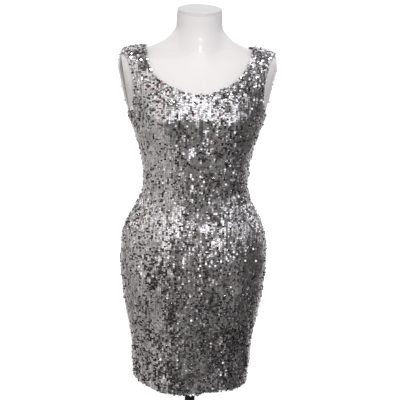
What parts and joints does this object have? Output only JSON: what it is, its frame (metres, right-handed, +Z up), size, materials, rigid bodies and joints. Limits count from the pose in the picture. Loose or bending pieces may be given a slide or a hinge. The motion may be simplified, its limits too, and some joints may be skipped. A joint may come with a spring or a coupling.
{
  "type": "cocktail dress on dress form",
  "caption": "Sleeveless scoop-neck cocktail dress of silver sequined stretch cloth, pulled on over a white limbless torso form that stands on a pole and a round base.",
  "frame": {"origin": "middle of the round base's underside, on the floor, under the pole", "axes": "+Z up along the pole; the front of the dress faces -Y; +X is to the right of someone who faces the front"},
  "size_m": [0.373, 0.32, 1.1352],
  "materials": {
    "sequined_cloth": "silver sequins, 5 mm, sewn in vertical rows on grey stretch mesh",
    "lining": "pale grey knit lining, soft sheen",
    "form_white": "white gloss moulded plastic",
    "stand_metal": "black satin paint"
  },
  "bodies": {
    "root": {"dress_front": "sequined_cloth", "dress_back": "sequined_cloth", "armhole_lining_left": "lining", "armhole_lining_right": "lining", "form_torso": "form_white", "neck_cap": "form_white", "pole_flange": "stand_metal", "stand_pole": "stand_metal", "stand_base": "stand_metal"}
  },
  "joints": []
}
